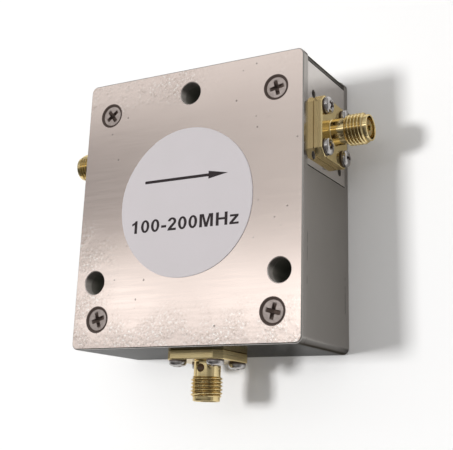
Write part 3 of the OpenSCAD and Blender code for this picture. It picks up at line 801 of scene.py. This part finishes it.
def frame_recipe(tree, where):
    """Milled silver, painted greyer as shade, covered in turn by painted shade on the corners, specks and
    painted shade on the bar, dirt in the joints and the bores' walls, which carry painted light on the
    lower left and painted shade further in and on the rest."""
    # The frame's grey, darker than the covers' silver, is painted shade
    colour, rough, lift = milled(tree, where, (0.64, 0.615, 0.585, 1), (0.57, 0.545, 0.515, 1), 0.11)
    x, y, _ = axes(tree, where)
    top = span(tree, y, 0.0236, 0.0240)
    bar = times(tree, top, span(tree, apart(tree, x), 0.0242, 0.0246))
    # Specks on the bar, so dense that they also darken it as painted shade
    specks_and_shade = span(tree, noise(tree, where, 1700), 0.32, 0.66, 0.62, 0.88)
    joint = depth_step(tree, where, COVER_T + 0.16, COVER_T + 0.06)
    loose = most(tree, top, span(tree, noise(tree, where, 210, 2), 0.56, 0.60))
    # The bores' walls: painted light on the lower left, lighter near the mouth, and painted shade deeper in
    # and on the rest
    bore, lit_near_mouth = bore_share(tree, where), depth_step(tree, where, COVER_T + 3.5, COVER_T)
    wall = blend(tree, lit_near_mouth, (0.30, 0.30, 0.265, 1), (0.55, 0.53, 0.49, 1))
    colour = layers(
        tree, colour,
        # Painted shade on the rounded corners
        (corner_shade_share(tree, where), CORNER_PAINTED_SHADE),
        (times(tree, specks_and_shade, span(tree, bar, 0, 1, 0.06, 1)), (0.15, 0.145, 0.14, 1)),
        (times(tree, joint, loose), (0.04, 0.035, 0.03, 1)),
        (bore, blend(tree, bore_lit_share(tree, where), (0.20, 0.20, 0.175, 1), wall)),
    )
    return colour, add_share(tree, rough, bore, DULL_ROUGH), lift, add_share(tree, 1.0, bore, DULL_METAL)


def block_recipe(tree, where):
    """Brighter milled silver, dull and darkened with painted shade inside the spare holes, which lie
    mirrored about the port's middle.
    """
    # The blocks' grey, darker than the covers' silver, is painted shade
    colour, rough, lift = milled(tree, where, (0.66, 0.625, 0.60, 1), (0.59, 0.56, 0.535, 1), 0.05)
    _, y, z = axes(tree, where)
    _, port_y, port_z = PORTS["right"][0]
    away = [sums(tree, "SUBTRACT", apart(tree, along, middle * MM), SPARE_PITCH / 2 * MM)
            for along, middle in ((y, port_y), (z, port_z))]
    spare_hole_shade = span(tree, length(tree, *away), (SPARE_R - 0.02) * MM, (SPARE_R + 0.02) * MM, 1, 0)
    # Painted shade inside the spare holes
    colour = blend(tree, spare_hole_shade, colour, (0.22, 0.20, 0.18, 1))
    return colour, add_share(tree, rough, spare_hole_shade, DULL_ROUGH), lift, add_share(tree, 1.0, spare_hole_shade, DULL_METAL)


# The tint dims the metal where the light only skims it, as a dull film does
frame_silver = finish("dull_silver_frame", frame_recipe, Specular_Tint=SIDE_TINT)
block_silver = finish("bright_silver_block", block_recipe, Specular_Tint=(0.75, 0.74, 0.73, 1))
coat(frame_silver, housing["main_frame"])
coat(block_silver, housing["right_port_block"], housing["left_port_block"])

# %% [markdown]
# ## Gold on the jacks
#
# The plating is thin hard gold over turned brass. It is a pale yellow metal with fine turning marks round
# the axis, darker in the thread's root and the mouth, and a duller cut on the flange's milled sides. The
# marks follow the lathe, so they read the UV map, whose second number runs along the section; a plain noise
# would look cast.

# %% Gold finishes
# Where the flange's side begins and ends along the section
side_foot, side_start, side_stop, side_edge = run[[2, 3, 4, 6]]


def gold_recipe(tree, where):
    """Clouded gold, darker along some turning marks and in the thread's root and the mouth, and rougher on
    the flange's sides.
    """
    uv = node(tree, "UVMap", uv_map="turned")
    marks = noise(tree, uv, 1, 2, 0.6, (3, 9, 1))
    recess_dark = node(tree, "Attribute", out=2, attribute_name="recess_dark")
    colour = layers(
        tree, blend(tree, noise(tree, where, 260, 2), (0.80, 0.665, 0.37, 1), (0.70, 0.555, 0.285, 1)),
        (span(tree, marks, 0.5, 0.75, 0, 0.25), (0.66, 0.50, 0.24, 1)),
        (span(tree, recess_dark, 0.1, 1, 0, 0.5), (0.36, 0.255, 0.11, 1)),
    )
    on_section = axes(tree, uv)[1]
    begun = span(tree, on_section, side_foot, side_start)
    not_ended = span(tree, on_section, side_stop, side_edge, 1, 0)
    rough = add_share(tree, span(tree, marks, 0.3, 0.7, 0.07, 0.14), times(tree, begun, not_ended), 0.19)
    return colour, rough, times(tree, marks, 1.2e-6)


def contact_recipe(tree, where):
    """Clouded deeper gold, rougher where it is darker."""
    cloud = noise(tree, where, 700)
    colour = blend(tree, cloud, (0.90, 0.71, 0.35, 1), (0.78, 0.57, 0.24, 1))
    return colour, span(tree, cloud, 0.3, 0.7, 0.14, 0.24), times(tree, cloud, 1e-6)


coat(finish("hard_gold", gold_recipe, Metallic=1.0, Specular_Tint=(0.8, 0.73, 0.6, 1)), *jacks)
contact_gold = finish("contact_gold", contact_recipe, Metallic=1.0)
coat(contact_gold, *(solids[side + "_jack_contact"] for side in PORTS))

# %% [markdown]
# ## Steel screws
#
# The cover screws have a grey, slightly pink, satin face. The flange screws are darker but shinier. Dirt
# and painted shade lie in the crosses and round the rims. It could be painted by hand, but the mesh knows
# how deep each point lies, so the finish reads that as an attribute.

# %% Screw finishes
def steel_recipe(light, dark, gloss):
    """Clouded, scuffed steel. Dirt and painted shade cover it by the share the mesh carries, and are no
    metal.
    """
    def recipe(tree, where):
        scuff = noise(tree, where, 2600, 3, 0.7)
        recess_dark = node(tree, "Attribute", out=2, attribute_name="recess_dark")
        dirt_shade_share = span(tree, recess_dark, 0.1, 0.8)
        colour = blend(tree, span(tree, noise(tree, where, 900, 3, 0.6), 0.3, 0.7), light, dark)
        # Dirt and painted shade, by the share the mesh carries
        colour = blend(tree, dirt_shade_share, colour, (0.085, 0.06, 0.05, 1))
        rough = add_share(tree, span(tree, scuff, 0.3, 0.7, gloss, gloss + 0.12), recess_dark, 0.3)
        return colour, rough, times(tree, scuff, 2e-6), sums(tree, "SUBTRACT", 1.0, dirt_shade_share)
    return recipe


pink_steel = steel_recipe((0.62, 0.545, 0.515, 1), (0.48, 0.415, 0.39, 1), 0.3)
grey_steel = steel_recipe((0.52, 0.50, 0.49, 1), (0.38, 0.365, 0.355, 1), 0.12)
coat(finish("cover_screw_steel", pink_steel), *cover_screws)
coat(finish("flange_screw_steel", grey_steel), *flange_screws)

# %% [markdown]
# ## Paper, ink, resin and insulator
#
# The paper is matte with a faint fibre, the ink is nearly black and dull, the resin is a dark amber, and
# the insulator is a waxy white plastic that lets a little light in. A flat colour would make them look
# printed on, so each has its own grain.

# %% Finishes that are not metal
def grained(light, dark, scale, gloss, height):
    """One cloud runs from the light colour to the dark, between two roughnesses, and lifts the face."""
    def recipe(tree, where):
        cloud = noise(tree, where, scale)
        rough = span(tree, cloud, 0.3, 0.7, *gloss)
        return blend(tree, cloud, light, dark), rough, times(tree, cloud, height)
    return recipe


def paper_recipe(tree, where):
    """Clouded pale grey, with darker fibres that also lift the face."""
    fibre = noise(tree, where, 2400, 4, 0.7)
    colour = blend(tree, noise(tree, where, 90, 2), (0.63, 0.59, 0.615, 1), (0.585, 0.555, 0.565, 1))
    colour = blend(tree, span(tree, fibre, 0.55, 0.8, 0, 0.25), colour, (0.52, 0.49, 0.50, 1))
    return colour, span(tree, fibre, 0.3, 0.7, 0.5, 0.65), times(tree, fibre, 4e-6)


ink = grained((0.022, 0.017, 0.019, 1), (0.045, 0.036, 0.038, 1), 3000, (0.42, 0.6), 1e-6)
amber = grained((0.075, 0.038, 0.012, 1), (0.028, 0.015, 0.007, 1), 1500, (0.25, 0.4), 8e-6)
wax = grained((0.86, 0.85, 0.82, 1), (0.76, 0.75, 0.71, 1), 800, (0.38, 0.5), 3e-6)
coat(finish("matte_paper", paper_recipe), label)
coat(finish("black_ink", ink, Specular_IOR_Level=0.15), arrow, band)
coat(finish("amber_resin", amber), resin)
waxy = finish("waxy_insulator", wax, Subsurface_Weight=0.1, Subsurface_Scale=0.0005)
coat(waxy, *(solids[side + "_jack_insulator"] for side in PORTS))

# %% [markdown]
# ## Finishes inside the housing
#
# Nobody sees the stack of magnets, plates, ferrite discs and copper strips while the covers are on, but
# the part may be taken apart later. Ground ceramics are matte with a fine grain, the steel plates are
# ground in one direction, and the copper is slightly tarnished.

# %% Inner finishes
def ground_recipe(light, dark, scale, gloss, stretch):
    """A fine grain and a slow cloud, added, run from the light colour to the dark; the grain sets the
    roughness and lifts the face."""
    def recipe(tree, where):
        grain = noise(tree, where, scale, 4, 0.65, stretch)
        both = sums(tree, "ADD", grain, noise(tree, where, 120, 2))
        colour = blend(tree, span(tree, both, 0.7, 1.3), light, dark)
        return colour, span(tree, grain, 0.3, 0.7, gloss, gloss + 0.15), times(tree, grain, 4e-6)
    return recipe


EVEN, ONE_WAY = (1, 1, 1), (1, 18, 1)
# Each finish: how its solids' names end, metal or not, two colours, then the grain's scale, gloss, stretch
INNER = {
    "ground_magnet": ("_magnet", 0.0, (0.16, 0.16, 0.16, 1), (0.09, 0.09, 0.09, 1), 2200, 0.45, EVEN),
    "ground_pole_steel": (
        "_pole_plate", 1.0, (0.70, 0.68, 0.66, 1), (0.58, 0.56, 0.54, 1), 300, 0.22, ONE_WAY),
    "ground_ferrite": ("_ferrite", 0.0, (0.085, 0.085, 0.095, 1), (0.05, 0.05, 0.055, 1), 3000, 0.3, EVEN),
    "amber_film": ("_film", 0.0, (0.72, 0.46, 0.13, 1), (0.62, 0.37, 0.09, 1), 500, 0.2, EVEN),
    "bare_copper": ("_junction_strip", 1.0, (0.80, 0.48, 0.32, 1), (0.62, 0.34, 0.22, 1), 900, 0.25, EVEN),
    "ceramic_chip": (
        "_tuning_capacitor", 0.0, (0.74, 0.66, 0.54, 1), (0.62, 0.54, 0.43, 1), 1600, 0.4, EVEN),
}
for name, (ending, metal, *look) in INNER.items():
    inner = [solid for one, solid in solids.items() if one.endswith(ending)]
    coat(finish(name, ground_recipe(*look), Metallic=metal), *inner)

# %% [markdown]
# ## Floor and light
#
# A plain pale floor carries the part. It glows a very little, only as the lens and mirrors see it, so it
# comes out white and still keeps the shadow.
#
# Silver shows whatever stands round it, so the light is built as a room. One lamp would leave the covers
# black; an even sky would leave them flat. Here the sky is a ceiling: each direction is divided by its
# height, so a straight edge up there stays straight in a flat cover. A long bright panel runs across it
# and shows at the covers' lower end, a bright zone behind shows at the top, and the dull band between
# shows in the middle. Grey walls stand round it near the horizon.
#
# One lamp hangs high on the left. It lights the floor and the paper, and is hidden from reflections,
# because its hard square would cut across the silver.

# %% Floor
FLOOR_HALF, FLOOR_DROP, FLOOR_GLOW = 900, 0.02, 0.05
floor_mesh = bpy.data.meshes.new("pale_floor")
square = np.array([[-1, -1, 0], [1, -1, 0], [1, 1, 0], [-1, 1, 0]]) * FLOOR_HALF - [0, 0, FLOOR_DROP]
floor_mesh.from_pydata(square * MM, [], [[0, 1, 2, 3]])
floor = added("pale_floor", floor_mesh)


def floor_recipe(tree, where):
    """Clouded white, almost without gloss."""
    cloud = noise(tree, where, 8, 2)
    colour = blend(tree, cloud, (0.97, 0.97, 0.97, 1), (0.955, 0.955, 0.955, 1))
    return colour, span(tree, cloud, 0.3, 0.7, 0.85, 0.95), times(tree, cloud, 1e-5)


floor_white = finish("pale_floor", floor_recipe, Specular_IOR_Level=0.1, Emission_Color=(1, 1, 1, 1))
tree = floor_white.node_tree
rays = node(tree, "LightPath").node.outputs
seen = most(tree, *(rays["Is %s Ray" % kind] for kind in ("Camera", "Glossy", "Transmission")))
tree.links.new(times(tree, seen, FLOOR_GLOW), tree.nodes["Principled BSDF"].inputs["Emission Strength"])
coat(floor_white, floor)

# %% Places on the ceiling
world = bpy.data.worlds.new("studio")
bpy.context.scene.world = world
world.use_nodes = True
sky = world.node_tree
x, y, z = axes(sky, node(sky, "TexCoord"))
LEAST_HEIGHT = 0.2
height = most(sky, z, LEAST_HEIGHT)
ceiling_x, ceiling_y = sums(sky, "DIVIDE", x, height), sums(sky, "DIVIDE", y, height)


def across(*ranges):
    """Smooth step from left to right over the ceiling."""
    return span(sky, ceiling_x, *ranges)


def back(*ranges):
    """Smooth step from the front to the back of the ceiling."""
    return span(sky, ceiling_y, *ranges)


# %% Brightness of the ceiling and the walls
WALL_DARK, WALL_LIGHT = 0.09, 0.45
even = back(-0.35, 0.05, across(-0.30, -0.10, 0.09, 0.26), 0.34)
right_side = times(sky, across(-0.82, -0.50, 0, 0.22), back(0.05, 0.25))
behind = times(sky, back(0.395, 0.52, 0, 0.46), across(-0.80, -0.50, 1.3, 0.7), back(0.60, 0.80, 1, 0.1))
# The panel's front and back edges, then each change of its brightness from left to right
panel = times(sky, back(0.07, 0.16), back(0.17, 0.30, 0.90, 0))
for change in ((-0.82, -0.76, 0.8, 1.4), (-0.74, -0.66, 1, 0.62), (-0.63, -0.57, 1, 1.3),
               (-0.47, -0.40, 1, 2.2), (0.3, 0.6, 1, 0)):
    panel = times(sky, panel, across(*change))
dim_end = times(sky, across(-0.59, -0.52), back(0.17, 0.23))
panel = times(sky, panel, add_share(sky, 1.0, dim_end, -0.6))
ceiling = sums(sky, "ADD", sums(sky, "ADD", even, panel), sums(sky, "ADD", right_side, behind))
ceiling = times(sky, ceiling, across(0.5, 1.2, 1, 0.7))
wall = most(sky, *(span(sky, side, low, high, WALL_DARK, WALL_LIGHT)
                   for side, low, high in ((x, -0.30, 0.0), (y, -0.75, -0.50))))
light = blend(sky, span(sky, z, 0.44, 0.27), ceiling, wall)
sky.links.new(light, sky.nodes["Background"].inputs["Strength"])
sky.nodes["Background"].inputs["Color"].default_value = (1, 0.985, 0.97, 1)
print("sky nodes:", len(sky.nodes))

# %% Lamp, high on the left
LAMP_SIZE, LAMP_POWER, LAMP_AWAY = 0.2, 9.3, 1.2
aim = Vector((-0.47, -0.03, 0.88)).normalized()
lamp_data = bpy.data.lights.new("studio_lamp", "AREA")
lamp_data.shape, lamp_data.size, lamp_data.energy = "SQUARE", LAMP_SIZE, LAMP_POWER
lamp = added("studio_lamp", lamp_data)
lamp.matrix_world = Matrix.LocRotScale(aim * LAMP_AWAY, aim.to_track_quat("Z", "Y"), None)
lamp.visible_glossy = False
bpy.context.scene.view_settings.view_transform = "Standard"
print("lamp at", [round(v, 3) for v in lamp.location])
